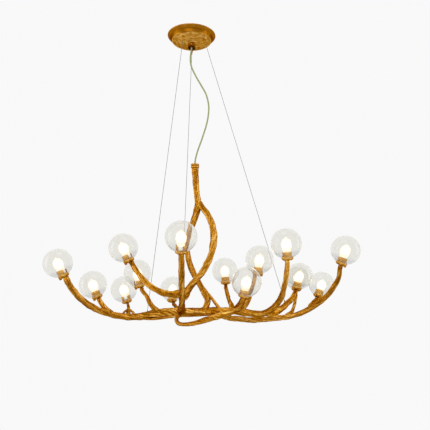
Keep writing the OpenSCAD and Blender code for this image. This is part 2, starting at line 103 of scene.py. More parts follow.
def grid_noise(x, y, z, seed):
    """Noise at each point of a grid, from its three coordinates."""
    x, y, z = np.broadcast_arrays(x, y, z)
    return noise(np.stack([x, y, z], axis=-1).reshape(-1, 3), seed).reshape(x.shape)


def shake(points, size, grain, seed):
    """The points moved a little by noise of that grain, as a cast surface is uneven."""
    flat = points.reshape(-1, 3)
    moved = np.stack([noise(flat / grain, seed + i) for i in range(3)], axis=1)
    return (flat + size * moved).reshape(points.shape)


# ---- Curves, tubes and turned shapes, as grids of points.
TURNED_SIDES = 96        # round a cup, the outlet and the ferrule


def smooth_route(route, step):
    """Points at about that step along the Catmull-Rom curve through the route's points."""
    p = np.asarray(route, float)
    last = len(p) - 1
    out = []
    for i in range(last):
        a, b, c, d = p[max(i - 1, 0)], p[i], p[i + 1], p[min(i + 2, last)]
        parts = max(1, round(float(np.linalg.norm(c - b)) / step))
        for t in np.arange(parts) / parts:
            out.append(0.5 * (2 * b + (c - a) * t + (2 * a - 5 * b + 4 * c - d) * t * t
                              + (3 * b - a - 3 * c + d) * t ** 3))
    out.append(p[last])
    return np.array(out)


def travelled(points):
    """Distance along the points."""
    return np.concatenate([[0], np.cumsum(np.linalg.norm(np.diff(points, axis=0), axis=1))])


def nearest(points, target):
    """Number of the point that lies nearest to the target."""
    return int(np.argmin(np.linalg.norm(points - np.array(target), axis=1)))


def normals(points):
    """Two normals at each point of a line, carried along it without a twist."""
    ahead = np.vstack([points[1:], points[-1:]])
    behind = np.vstack([points[:1], points[:-1]])
    tangent = ahead - behind
    tangent /= np.linalg.norm(tangent, axis=1)[:, None]
    side = (0, 1, 0) if abs(tangent[0][1]) < 0.8 else (1, 0, 0)
    first = np.cross(tangent[0], side)
    normal = [first / np.linalg.norm(first)]
    for t in tangent[1:]:
        n = normal[-1] - (normal[-1] @ t) * t
        normal.append(n / np.linalg.norm(n))
    normal = np.array(normal)
    return normal, np.cross(tangent, normal)


def tube(centre, radius, angle):
    """A grid round a centre line, from the radius and the angle of each of its points."""
    u, v = normals(centre)
    return (centre[:, None] + (radius * np.cos(angle))[..., None] * u[:, None]
            + (radius * np.sin(angle))[..., None] * v[:, None])


def lathe(profile, sides):
    """A grid round the Z axis from (radius, height) points."""
    angle = np.arange(sides) / sides * TURN
    profile = np.asarray(profile, float)
    r, z = profile[:, 0][:, None], profile[:, 1][:, None]
    return np.stack([r * np.cos(angle), r * np.sin(angle), z + 0 * angle], axis=2)


def polar(points):
    """Distance from the Z axis and heading round it, at each point of a grid."""
    x, y = points[..., 0], points[..., 1]
    return np.hypot(x, y), np.arctan2(y, x)


def round_corners(profile, step=0.8):
    """A smooth curve through the profile's points, with points at about that step."""
    return smooth_route([(r, 0, z) for r, z in profile], step)[:, (0, 2)]


# ---- Meshes.
def grid_faces(rows, columns, start):
    """Quads over a grid of rows by columns, which closes round each row."""
    i, k = np.meshgrid(np.arange(rows - 1), np.arange(columns), indexing="ij")
    i, k = i.ravel(), k.ravel()
    nxt = (k + 1) % columns
    quads = np.stack([i * columns + k, i * columns + nxt, (i + 1) * columns + nxt,
                      (i + 1) * columns + k], axis=1)
    return (quads + start).tolist()


class Shape:
    """A mesh put together from grids of points in millimetres, with a depth for each point."""

    def __init__(self):
        self.points, self.depth, self.faces, self.count = [], [], [], 0

    def grid(self, points, depth=0.0, first_cap=False, last_cap=False):
        """Adds a grid (rows, columns, 3). A cap closes its first or last row."""
        rows, columns = points.shape[:2]
        start = self.count
        self.faces += grid_faces(rows, columns, start)
        if first_cap:
            self.faces.append([start + k for k in range(columns)][::-1])
        if last_cap:
            self.faces.append([start + (rows - 1) * columns + k for k in range(columns)])
        self.points.append(points.reshape(-1, 3))
        self.depth.append(np.broadcast_to(depth, (rows, columns)).ravel())
        self.count += rows * columns

    def build(self, name, material, place=None):
        """The shape as an object in metres, moved to a place: a turn and an origin."""
        points = np.vstack(self.points)
        if place is not None:
            turn, origin = place
            points = points @ turn.T + origin
        mesh = bpy.data.meshes.new(name)
        mesh.from_pydata((points * MM).tolist(), [], self.faces)
        mesh.polygons.foreach_set("use_smooth", np.ones(len(mesh.polygons), bool))
        depth = mesh.attributes.new("depth", "FLOAT", "POINT")
        depth.data.foreach_set("value", np.concatenate(self.depth).astype(np.float32))
        mesh.materials.append(material)
        mesh.update()
        obj = bpy.data.objects.new(name, mesh)
        bpy.context.collection.objects.link(obj)
        return obj


# ---- Materials.
class Nodes:
    """The node tree of a new material or world, written as calls."""

    def __init__(self, owner):
        owner.use_nodes = True
        self.owner = owner
        self.tree = owner.node_tree
        self.tree.nodes.clear()
        self.coords = self.add("ShaderNodeTexCoord").outputs

    def add(self, kind, inputs=(), **settings):
        """A node with its settings, and with a value or a link for each of its inputs."""
        made = self.tree.nodes.new(kind)
        for key, value in settings.items():
            setattr(made, key, value)
        for key, value in dict(inputs).items():
            if isinstance(value, bpy.types.NodeSocket):
                self.tree.links.new(value, made.inputs[key])
            else:
                made.inputs[key].default_value = value
        return made

    def depth(self):
        return self.add("ShaderNodeAttribute", attribute_name="depth").outputs["Fac"]

    def noise(self, scale, detail=3.0, roughness=0.55):
        inputs = {"Vector": self.coords["Object"], "Scale": scale, "Detail": detail,
                  "Roughness": roughness}
        return self.add("ShaderNodeTexNoise", inputs).outputs["Fac"]

    def ramp(self, value, *stops):
        """A colour from a value, through stops of (value, colour)."""
        made = self.add("ShaderNodeValToRGB", {"Fac": value})
        ramp = made.color_ramp
        while len(ramp.elements) < len(stops):
            ramp.elements.new(0.5)
        for element, (place, colour) in zip(ramp.elements, stops):
            element.position = place
            element.color = (*colour, 1)
        return made.outputs["Color"]

    def math(self, operation, a, b):
        return self.add("ShaderNodeMath", {0: a, 1: b}, operation=operation).outputs[0]

    def scaled(self, value, low, high):
        """A value from 0 to 1 taken from low to high."""
        inputs = {"Value": value, "To Min": low, "To Max": high}
        return self.add("ShaderNodeMapRange", inputs).outputs["Result"]

    def mix(self, share, a, b):
        return self.add("ShaderNodeMix", {0: share, 6: a, 7: b}, data_type="RGBA").outputs[2]

    def bump(self, height, strength, distance):
        inputs = {"Height": height, "Strength": strength, "Distance": distance}
        return self.add("ShaderNodeBump", inputs).outputs["Normal"]

    def looked_at(self):
        """1 where the camera looks, also through glass, and 0 for every other ray."""
        path = self.add("ShaderNodeLightPath").outputs
        return self.math("MAXIMUM", path["Is Camera Ray"], path["Is Transmission Ray"])

    def principled(self, **inputs):
        """Ends a material with its shader, whose inputs are named with _ for each space."""
        named = {key.replace("_", " "): value for key, value in inputs.items()}
        shader = self.add("ShaderNodeBsdfPrincipled", named)
        self.add("ShaderNodeOutputMaterial", {"Surface": shader.outputs[0]})
        return self.owner


def new_material(name):
    return Nodes(bpy.data.materials.new(name))


# Stops of the bronze's ramp by depth: rubbed ridges with a painted highlight, down to grooves browned
# by patina and painted shade.
RUBBED_HIGHLIGHT = (0.0, (0.90, 0.54, 0.14))
OCHRE = (0.26, (0.66, 0.30, 0.028))
BROWN = (0.58, (0.43, 0.165, 0.006))
GROOVE_BROWN = (1.0, (0.19, 0.055, 0.001))
BRONZE_GLANCE = (0.42, 0.22, 0.05, 1)        # tint of its gloss at a flat angle


def bronze(name, darker=0.0):
    """Cast bronze: ochre, dark brown in the grooves with patina and painted shade, and paler on the
    ribs with wear and a painted highlight.
    """
    n = new_material(name)
    depth = n.depth()
    grain = n.noise(620, 3, 0.6)
    tone = n.math("ADD", depth, n.scaled(n.noise(30, 4), darker - 0.14, darker + 0.18))
    tone = n.math("ADD", tone, n.scaled(grain, -0.16, 0.16))
    colour = n.ramp(tone, RUBBED_HIGHLIGHT, OCHRE, BROWN, GROOVE_BROWN)
    return n.principled(Base_Color=colour, Metallic=1.0, Roughness=n.scaled(grain, 0.30, 0.50),
                        Specular_Tint=BRONZE_GLANCE, Normal=n.bump(grain, 0.4, 0.0006))


# Colours of the globes' painted glow: dim near the cup and warm above it.
PAINTED_GLOW_NEAR_CUP = (0.10, 0.08, 0.05, 1)
PAINTED_GLOW_ABOVE = (1.0, 0.91, 0.66, 1)


def clear_glass():
    """Faintly grey glass, with a painted glow in it, as if the bulb lit a thin haze, away from the
    cup.
    """
    n = new_material("clear_glass")
    painted_glow = n.mix(n.depth(), PAINTED_GLOW_NEAR_CUP, PAINTED_GLOW_ABOVE)
    waves = n.bump(n.noise(9, 0), 0.002, 0.001)
    return n.principled(Base_Color=(0.816, 0.820, 0.814, 1), Transmission_Weight=1.0,
                        Roughness=0.0, IOR=1.32, Normal=waves,
                        Emission_Color=painted_glow, Emission_Strength=0.045)


def lit_opal(name, inner, outer, strength, alpha):
    """Lit opal glass: its own soft light, a little uneven."""
    n = new_material(name)
    colour = n.mix(n.noise(70, 2), inner, outer)
    return n.principled(Base_Color=(0.3, 0.28, 0.24, 1), Roughness=0.35, Alpha=alpha,
                        Emission_Color=colour, Emission_Strength=strength)


def steel_wire():
    """Dull stranded steel, whose strands show as fine slanted bands."""
    n = new_material("steel_wire")
    inputs = {"Vector": n.coords["Object"], "Scale": 260.0, "Distortion": 1.0}
    strands = n.add("ShaderNodeTexWave", inputs, bands_direction="DIAGONAL").outputs["Fac"]
    colour = n.ramp(strands, (0.0, (0.10, 0.105, 0.09)), (1.0, (0.20, 0.21, 0.18)))
    return n.principled(Base_Color=colour, Metallic=0.5, Roughness=0.5,
                        Normal=n.bump(strands, 0.4, 0.0002))


def cord_sleeve():
    """Olive textile, with painted shade between the threads of its braid, and a soft fuzz."""
    n = new_material("cord_sleeve")
    depth = n.depth()
    fuzz = n.noise(900, 2)
    tone = n.math("ADD", depth, n.scaled(fuzz, -0.25, 0.25))
    colour = n.ramp(tone, (0.0, (0.46, 0.50, 0.23)), (1.0, (0.23, 0.26, 0.10)))
    return n.principled(Base_Color=colour, Roughness=0.85, Sheen_Weight=0.25,
                        Sheen_Roughness=0.5, Normal=n.bump(fuzz, 0.4, 0.0003))


def cloudy(name, dark, light, metallic, rough, **more):
    """Metal, plastic or glaze with a cloudy colour and a fine grain, its roughness in a range."""
    n = new_material(name)
    colour = n.ramp(n.noise(60, 4, 0.6), (0.3, dark), (0.7, light))
    return n.principled(Base_Color=colour, Metallic=metallic,
                        Roughness=n.scaled(n.noise(300, 2), *rough),
                        Normal=n.bump(n.noise(700, 2), 0.2, 0.0003), **more)


BRONZE = bronze("bronze")
FITTING_BRONZE = bronze("fitting_bronze", 0.42)
GLASS = clear_glass()
ENVELOPE = lit_opal("opal_envelope", (1.0, 0.80, 0.58, 1), (1.0, 0.76, 0.52, 1), 1.08, 0.50)
VEIL = lit_opal("opal_veil", (1.0, 0.86, 0.66, 1), (1.0, 0.83, 0.62, 1), 1.10, 0.55)
CORE = lit_opal("lit_core", (1.0, 0.97, 0.88, 1), (1.0, 0.95, 0.84, 1), 4.0, 1.0)
STEEL = steel_wire()
SLEEVE = cord_sleeve()
# White glazed ceramic, with a faint painted glow, as though the bulb above it shone through a little.
CERAMIC = cloudy("white_ceramic", (0.82, 0.81, 0.77), (0.90, 0.89, 0.86), 0.0, (0.15, 0.35),
                 Emission_Color=(1.0, 0.95, 0.86, 1), Emission_Strength=0.28)
ZINC = cloudy("zinc_plate", (0.50, 0.51, 0.53), (0.68, 0.69, 0.71), 1.0, (0.30, 0.48))
BRASS = cloudy("bare_brass", (0.62, 0.46, 0.18), (0.80, 0.62, 0.28), 1.0, (0.22, 0.40))
BLOCK = cloudy("terminal_plastic", (0.76, 0.76, 0.71), (0.82, 0.82, 0.78), 0.0, (0.37, 0.55))


# ---- Cord: the part's own route, swept as a braided sleeve.
CORD_D = 6.0
CORD_ROUTE = [(0, 0, -46), (-1, 0, -60), (-4, -1, -84), (-1, -2, -118), (15, -4, -156),
              (36, -6, -194), (54, -8, -228), (63, -8, -261), (65, -8, -294), (58, -6, -340),
              (42, -4, -393), (26, -2, -438), (17, 0, -470), (15, 0, -486), (15, 0, -498)]
CORD_STEP = 1.0          # distance between the rings of the sleeve
CORD_SIDES = 32
BRAID_PLIES = 8
BRAID_TWIST = 1.4        # radians that a ply turns in a millimetre
BRAID_H = 0.12


def make_cord():
    centre = smooth_route(CORD_ROUTE, CORD_STEP)
    s = travelled(centre)
    angle = np.arange(CORD_SIDES) / CORD_SIDES * TURN
    plies, turned = BRAID_PLIES * angle, s[:, None] * BRAID_TWIST
    ridge = np.sin(plies + turned) * np.sin(plies - turned)
    radius = CORD_D / 2 - BRAID_H + BRAID_H * ridge
    shape = Shape()
    # Painted shade between the braid's plies: depth rises away from each ridge.
    shape.grid(tube(centre, radius, angle), 0.5 - 0.5 * ridge, first_cap=True, last_cap=True)
    cord = shape.build("supply_cord", SLEEVE)
    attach(cord, "frame")
    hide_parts("power_cord")


make_cord()


# ---- Lamps, numbered from 1: the middle of the globe, the lean of the cup and its heading, the
# heading of one of the collar's two windows, how far the stem stands inwards and aside under the
# cup, and whether a cut twig end sits under it.
Lamp = namedtuple("Lamp", "middle lean heading window stem twig")
LAMPS = {
    1: Lamp((-456, -59, -852), 26, 184, -25, (4, 0), True),
    2: Lamp((-361, 38, -933), 23, 170, 16, (4, 0), True),
    3: Lamp((-228, -70, -799), 25, 176, -36, (6, 0), True),
    4: Lamp((-263, 115, -957), 19, 155, -85, (0, 0), False),
    5: Lamp((-196, 30, -891), 10, 166, 35, (8, 0), True),
    6: Lamp((-82, 188, -962), 26, 88, 6, (0, 8), False),
    7: Lamp((-16, -229, -766), 10, 270, -95, (0, 0), False),
    8: Lamp((127, 144, -886), 10, 110, -1, (0, 0), False),
    9: Lamp((193, -112, -912), 12, 330, -4, (2, 0), True),
    10: Lamp((246, -24, -840), 8, 335, -6, (8, 0), True),
    11: Lamp((320, -153, -786), 5, 215, -10, (-3, 0), False),
    12: Lamp((414, 111, -905), 18, 30, -11, (3, 0), True),
    13: Lamp((507, 141, -941), 30, 40, -14, (4, 0), True),
    14: Lamp((539, -68, -807), 19, 345, -17, (-1, 0), True),
    15: Lamp((427, 225, -920), 15, 60, -11, (0, 0), False)}
GLOBE_R = 50.0
RIM_R = 19.5
SEAT_DEPTH = math.sqrt(GLOBE_R ** 2 - RIM_R ** 2)
CUP_BASE = -9.0
STRAIGHT_END = 10.0      # straight stretch of a stem below its cup


def lamp_turn(n):
    """The turn of a lamp, from upright to the lean and heading of its cup."""
    lean, heading = math.radians(LAMPS[n].lean), math.radians(LAMPS[n].heading)
    return np.array(Matrix.Rotation(heading, 3, "Z") @ Matrix.Rotation(lean, 3, "Y"))


def seat(n):
    """The middle of a cup's rim, where the globe's neck sits."""
    return np.array(LAMPS[n].middle) - SEAT_DEPTH * lamp_turn(n)[:, 2]


def lamp_place(n):
    return lamp_turn(n), seat(n)


def stem_end(n):
    """The last two points of a stem, square to the flat underside of its cup."""
    turn = lamp_turn(n)
    inwards, aside = LAMPS[n].stem
    foot = seat(n) + CUP_BASE * turn[:, 2] - inwards * turn[:, 0] - aside * turn[:, 1]
    return [foot - STRAIGHT_END * turn[:, 2], foot]


# ---- Limbs: the route, the radii at even steps along it, and whether its first and its last end
# are roots in another limb. An end that is no root runs into a cup or is cut.
Limb = namedtuple("Limb", "route radii root_first root_last", defaults=(False, False))
HUB = (-32, -8, -1026)
CROTCH = (27, 1, -640)
MAIN_BOUGH = Limb(stem_end(1)[::-1] + [
    (-412, -46, -936), (-391, -34, -966), (-362, -17, -997), (-328, 3, -1022), (-294, 18, -1036),
    (-260, 27, -1044), (-226, 30, -1048), (-192, 28, -1047), (-158, 22, -1042), (-120, 14, -1034),
    (-77, 4, -1028), HUB, (9, -6, -1026), (44, -2, -1026), (80, -3, -1025), (114, -6, -1024),
    (148, -10, -1021), (180, -16, -1023), (208, -22, -1027), (238, -32, -1029), (263, -46, -1023),
    (282, -64, -1009), (298, -86, -988), (309, -109, -961), (315, -128, -931), (319, -142, -898)]
    + stem_end(11), [9.5, 10, 10.5, 10.6, 13.5, 15.5, 15.5, 13.5, 11.5, 9.8, 8.2, 7.3])
LOWER_BOUGH = Limb([
    (86, 0, -1031), (112, 9, -1041), (140, 16, -1050), (180, 27, -1056), (216, 37, -1061),
    (246, 45, -1062), (280, 52, -1061), (314, 58, -1058), (347, 62, -1055), (380, 62, -1048),
    (413, 57, -1036), (444, 47, -1018), (473, 30, -995), (495, 10, -968), (510, -12, -937),
    (522, -32, -906)] + stem_end(14), [9.2, 9.0, 9.2, 9.4, 8.6, 7.5], root_first=True)
STEM = Limb([
    (15, 0, -511), (15, 0, -523), (17, 0, -540), (19, 0, -570), (23, 0, -605), CROTCH,
    (21, 3, -668), (10, 8, -700), (-3, 15, -739), (-12, 22, -778), (-13, 26, -808),
    (-9, 29, -838), (0, 31, -870), (15, 31, -903), (33, 29, -934), (51, 24, -963),
    (62, 16, -987), (58, 6, -1007), (46, 0, -1021), (30, -3, -1027)],
    [11.5, 11, 12, 10.5, 10, 10.5, 11, 9], root_last=True)
RIGHT_STRAND = Limb([
    (24, 0, -628), (41, -1, -652), (62, -4, -680), (78, -11, -714), (84, -20, -754),
    (81, -29, -789), (74, -40, -823), (60, -53, -857), (44, -66, -885), (22, -80, -910),
    (3, -94, -933), (-10, -106, -953), (-20, -114, -967)],
    [6.5, 11.5, 11.5, 10.5, 10.5, 10.5], root_first=True, root_last=True)
STRAIGHT_STRAND = Limb([
    (27, 30, -924), (45, 25, -945), (65, 18, -967), (85, 8, -990), (104, -3, -1014),
    (112, -6, -1024)], [5.5, 5.5])
UNDER_STRAND = Limb([
    (-24, -10, -1028), (-48, -9, -1036), (-80, -2, -1044), (-114, 7, -1050), (-146, 14, -1053),
    (-178, 24, -1051)], [5, 5])
# Two legs rise from the left bough and meet under one branch, which stands on them as a tripod.
TRIPOD_BRANCH, TRIPOD_X = 4, -231
TRIPOD_LEGS = [Limb([(x, 28, -1048), (x + 0.45 * (TRIPOD_X - x), 36, -1032),
                     (TRIPOD_X - 1, 58, -1024)], [4, 3.6]) for x in (-252, -197)]
BRANCHES = {
    2: ([(-283, 21, -1041), (-304, 24, -1022), (-322, 27, -1003)], [8.5, 8]),
    3: ([(-24, -136, -949), (-48, -133, -950), (-70, -128, -949), (-98, -120, -941),
         (-131, -109, -924), (-160, -97, -899), (-183, -87, -871)], [10, 9.5, 8.4, 7.8]),
    4: ([(-227, 30, -1046), (-229, 42, -1035), (-233, 62, -1024), (-239, 88, -1021)], [6, 5.2, 5]),
    5: ([(-113, 12, -1030), (-131, 11, -1015), (-146, 12, -996), (-158, 16, -974)], [8, 7]),
    6: ([(-37, 0, -1023), (-48, 30, -1019), (-57, 65, -1017), (-64, 100, -1016)], [8, 6.5, 5.5]),
    7: ([(-31, -8, -1022), (-27, -50, -1004), (-22, -104, -974), (-18, -158, -934),
         (-16, -200, -885)], [12, 10, 9, 8.8]),
    8: ([(149, -10, -1020), (147, 22, -1006), (141, 62, -993), (136, 104, -976)], [8.5, 6.8, 6.6]),
    9: ([(-34, -10, -1026), (-43, -28, -1038), (-46, -38, -1048), (-39, -46, -1058),
         (-22, -50, -1062), (4, -48, -1061), (32, -46, -1055), (62, -42, -1046), (94, -36, -1037),
         (122, -32, -1029), (148, -36, -1018), (169, -52, -1003)], [6.5, 6.5, 9, 11, 11, 9.5]),
    10: ([(168, -14, -1020), (185, -16, -1011), (197, -17, -998), (205, -18, -984),
          (213, -18, -963), (222, -19, -934)], [9.5, 7.5, 7]),
    12: ([(266, -50, -1022), (288, -30, -1027), (310, -8, -1023), (330, 15, -1016),
          (346, 36, -1008), (361, 56, -999), (376, 73, -988)], [10.5, 11.2, 9, 7.8]),
    13: ([(439, 48, -1019), (448, 64, -1012), (458, 82, -1005)], [7.5, 7.5]),
    15: ([(352, 64, -1052), (369, 82, -1045), (384, 106, -1036), (395, 132, -1024),
          (404, 156, -1010), (411, 178, -995)], [6.5, 5.5, 6.5])}

ROOT_FLARE = 0.3         # how much wider a limb is where it grows out of another
ROOT_SINK = 10.0         # how deep a root's end lies in its parent; the flare is widest there
ROOT_FLARE_H = 24.0      # length of the flare from there on
SWELLS = [(0.035, 3.1, 0), (0.025, 7.7, 40)]     # share of the radius, degrees per mm, start

LIMB_STEP = 2.5          # distance between the rings of a limb
RIBS, RIB_DEPTH = 3, 0.07
RIB_TWIST = math.radians(0.55)       # turn in a millimetre, as the next one is
STRAND_TWIST = math.radians(0.85)
STRAND_W = 8.6           # width of one strand of the bark
STRAND_POINTS = 10       # points across one strand
FEWEST_STRANDS = 5
BARK_LIFT = 0.7          # how far the strands' ridges stand over the limb's radius
GROOVE_DEPTH = 1.9       # between two strands
BEAD_PITCH = 6.4         # from bead to bead along a strand
BEAD_DEPTH = 0.9
PIT_DEPTH = 0.3
KNOT_H = 1.5
FIELD_SHIFT = 17.3       # between two fields of noise over the same skin


def limb_radius(limb, s):
    """The radius at each distance along a limb, with its slow swells and its roots' flares."""
    whole = s[-1]
    plain = np.interp(s / whole, np.linspace(0, 1, len(limb.radii)), limb.radii)
    swell = 1
    for share, rate, start in SWELLS:
        swell = swell + share * np.sin(np.radians(s * rate + start))
    radius = plain * swell
    for rooted, way in ((limb.root_first, s), (limb.root_last, whole - s)):
        if rooted:
            share = np.minimum(way / ROOT_SINK, 1 - (way - ROOT_SINK) / ROOT_FLARE_H)
            radius = radius * (1 + ROOT_FLARE * ease(share))
    return radius


def limb_skin(limb, seed):
    """The centre line of a limb, its bark as a grid of points, and each point's depth."""
    centre = smooth_route(limb.route, LIMB_STEP)
    s = travelled(centre)
    radius = limb_radius(limb, s)
    strands = max(FEWEST_STRANDS, round(TURN * float(np.mean(radius)) / STRAND_W))
    sides = strands * STRAND_POINTS
    a, length = np.meshgrid(np.arange(sides) / sides * TURN, s)

    def wander(reach, grain, number):
        """A field of noise: a wider reach varies faster round the limb, a finer grain along it."""
        shift = FIELD_SHIFT * number
        return grid_noise(reach * np.cos(a) + shift, reach * np.sin(a) + shift,
                          length / grain + shift, seed)

    # Strands wind round the limb and wander, and the grooves between them fade in and out.
    place = (a - STRAND_TWIST * length) / TURN * strands
    place = place + 0.6 * wander(1.1, 46, 1) + 0.3 * wander(2.3, 17, 2)
    off_middle = np.abs(2 * (place - np.floor(place)) - 1)
    groove = off_middle ** 2.2 * (0.45 + 0.55 * ease(0.6 + 1.2 * wander(1.3, 38, 3)))
    # Notches part the beads on some stretches, each strand's set apart from the next one's.
    notch_phase = 2.4 * np.mod(np.floor(place), strands) + 3 * wander(0.8, 60, 4)
    notch = 0.5 - 0.5 * np.sin(length * TURN / BEAD_PITCH + notch_phase)
    notch = notch * (ease(0.7 + 1.3 * wander(0.9, 60, 5)) * (1 - off_middle ** 2))
    pits = wander(3.4, 5.2, 6)
    knots = ease(2.4 * wander(0.9, 24, 8) - 0.6)
    ribs = np.cos(RIBS * a)
    r = radius[:, None] * (1 + RIB_DEPTH * ribs + 0.05 * wander(0.5, 34, 9)) + BARK_LIFT
    r = r - GROOVE_DEPTH * groove - BEAD_DEPTH * notch + PIT_DEPTH * pits + KNOT_H * knots
    # Darker in grooves and notches, paler on ribs, pits and knots: patina and wear, and with them
    # painted shade in the hollows and a painted highlight on the ridges.
    depth = (0.12 + 0.85 * groove + 0.62 * notch - 0.26 * pits - 0.15 * ribs
             + 0.25 * wander(0.7, 30, 7) - 0.1 * knots)
    return centre, tube(centre, r, a + RIB_TWIST * length), np.clip(depth, 0, 1)


def add_limb(node, limb, seed, first=None, last=None, extra=()):
    """The bark that stands for a node. It starts or ends at a route point, if one is given."""
    shape = Shape()
    for i, part in enumerate([limb, *extra]):
        centre, points, depth = limb_skin(part, seed + 50 * i)
        begin = 0 if first is None else nearest(centre, first)
        end = len(centre) - 1 if last is None else nearest(centre, last)
        shape.grid(points[begin:end + 1], depth[begin:end + 1], first_cap=True, last_cap=True)
    piece = shape.build(f"bark_{node}", BRONZE)
    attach(piece, "frame")
    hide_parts(node)


def make_limbs():
    add_limb("left_bough", MAIN_BOUGH, 1, last=HUB)
    add_limb("right_bough", MAIN_BOUGH, 1, first=HUB)
    add_limb("lower_bough", LOWER_BOUGH, 2)
    add_limb("trunk", STEM, 3, last=CROTCH)
    add_limb("left_strand", STEM, 3, first=CROTCH)
    add_limb("right_strand", RIGHT_STRAND, 4)
    add_limb("thin_strands", STRAIGHT_STRAND, 5, extra=[UNDER_STRAND])
    for n, (route, radii) in BRANCHES.items():
        limb = Limb(route + stem_end(n), radii, root_first=True)
        legs = TRIPOD_LEGS if n == TRIPOD_BRANCH else ()
        add_limb(f"branch_{n:02d}", limb, 10 + n, extra=legs)


make_limbs()


# ---- Cups: a shallow bowl with an uneven lip, and above it a collar of two jaws.
BOWL_PROFILE = [(0.1, -9.0), (6, -9.0), (11, -8.9), (15.3, -7.3), (18.0, -4.9), (19.3, -2.6),
                (19.5, -1.3), (19.1, -0.3), (18.1, 0)]
FLUTES, FLUTE_DEPTH = 7, 0.045
LIP_PROFILE = [(18.05, 0.0), (18.05, 1.2), (18.0, 2.4), (17.5, 3.4), (16.7, 3.9), (16.2, 4.0)]
LIP_RISE, LIP_SWAY = 0.8, 1.5
LIP_EDGE_R = 17.7        # the lip is darker inside this radius
TWIG_X, TWIG_R, TWIG_END = 14.3, 3.9, -12.0
TWIG_PROFILE = [(0.2, TWIG_END + 1.6), (2.0, TWIG_END + 1.2), (3.1, TWIG_END + 0.1),
                (TWIG_R - 0.6, TWIG_END + 0.2), (TWIG_R, TWIG_END + 1.6), (TWIG_R + 0.4, -8),
                (TWIG_R + 0.6, -5)]
TWIG_SIDES = 28
TWIG_HOLLOW_ROWS = 4     # rings of its end that lie in the dark hollow
COLLAR_OUT, COLLAR_IN, COLLAR_H = 17.3, 15.4, 18.6
COLLAR_FOOT, SILL_H = 2.5, 5.2       # a ring from the foot to the sill carries the two jaws
WINDOW = math.radians(54)
JAW_SINK = 0.4           # how deep a jaw's foot lies in the ring
JAW_STEP = 0.055         # radians between two columns of a jaw
JAW_LEVELS = 14          # points up each side of its wall
JAW_CORNER = 2.0         # radius of its corners
JAW_EDGE = 0.93          # share of its height where the upper edge starts to round
WAIST_Z, WAIST_H, WAIST_DEPTH = 9.5, 1.3, 0.45


def bowl(shape, seed):
    """The outside of the cup up to its lip, which sways up and down round the collar."""
    under = lathe(round_corners(BOWL_PROFILE), TURNED_SIDES)
    angle = polar(under)[1]
    flutes = 0.5 + 0.5 * np.cos(FLUTES * angle + seed + 0.5 * np.sin(2 * angle))
    under = shake(under, 0.4, 5.5, seed)
    below = ease((-1.5 - under[..., 2]) / 3)         # 0 at the rim and 1 under the bowl
    under[..., :2] *= (1 - FLUTE_DEPTH * below * flutes)[..., None]
    under[..., 2] = np.minimum(under[..., 2], 0)
    # Painted shade: the flutes darken, most of all under the bowl.
    shape.grid(under, 0.08 + 0.40 * below * flutes, first_cap=True)
    lip = lathe(round_corners(LIP_PROFILE, 0.6), TURNED_SIDES)
    r, angle = polar(lip)
    sway = grid_noise(1.3 * np.cos(angle), 1.3 * np.sin(angle), 1.3 * seed, seed)
    lip[..., 2] += (LIP_RISE + LIP_SWAY * sway) * ease(lip[..., 2] / 3)
    # Painted shade where the lip runs in under the collar's ring.
    shape.grid(lip, 0.75 * ease((LIP_EDGE_R - r) / 0.9))


def jaw(shape, begin, end, sill, top, seed):
    """A curved wall between two headings: a ring, or a jaw with round corners and an uneven top."""
    count = max(8, round((end - begin) / JAW_STEP))
    angle = np.linspace(begin, end, count)
    is_jaw = end - begin < TURN
    edge = np.minimum(angle - begin, end - angle) * COLLAR_OUT
    rounded = 1 - 0.22 * (1 - ease(edge / JAW_CORNER)) ** 2 if is_jaw else np.ones(count)
    uneven = 0.7 * grid_noise(2.2 * np.cos(angle), 2.2 * np.sin(angle), 2.2 * seed, seed)
    height = sill + (top - sill) * rounded + uneven * is_jaw
    # Each row is a line round the wall: up its outside, and down its inside.
    level = np.linspace(0, 1, JAW_LEVELS)
    at_edge = ease((level - JAW_EDGE) / (1 - JAW_EDGE))
    outside = COLLAR_OUT - 0.5 + 0.5 * level - 0.5 * at_edge
    inside = COLLAR_IN + 0.3 * at_edge
    r = np.concatenate([outside, inside[::-1]])[:, None]
    z = sill + (height - sill) * np.concatenate([level, level[::-1]])[:, None]
    angle = angle + 0 * z
    fold = grid_noise(angle * 2.6, z / 5.5, seed, seed + 3)
    outer = (np.arange(2 * JAW_LEVELS) < JAW_LEVELS)[:, None]
    waist = np.exp(-((z - WAIST_Z) / WAIST_H) ** 2)
    r = r - outer * (WAIST_DEPTH * waist + 0.3 * (0.5 + 0.5 * fold))
    foot = ease((6.5 - z) / 2.5)
    # Painted shade: darker in the waist's groove, at the foot where the jaws meet the lip, and over
    # the inner faces.
    depth = np.clip(0.06 + 0.30 * waist + 0.16 * fold + 0.75 * foot, 0, 1)
    depth = np.where(outer, depth, 0.55)
    points = np.stack([r * np.cos(angle), r * np.sin(angle), z], axis=2)
    shape.grid(points.transpose(1, 0, 2), depth.T, first_cap=is_jaw, last_cap=is_jaw)


def twig_end(shape, seed):
    """The short stub of a cut twig below the bowl, with a dark hollowed end."""
    points = shake(lathe(round_corners(TWIG_PROFILE), TWIG_SIDES), 0.4, 3.5, seed)
    points[..., 0] += TWIG_X + 0.1 * (points[..., 2] - TWIG_END)
    row = np.arange(points.shape[0])[:, None]
    shape.grid(points, np.where(row < TWIG_HOLLOW_ROWS, 0.9, 0.4))


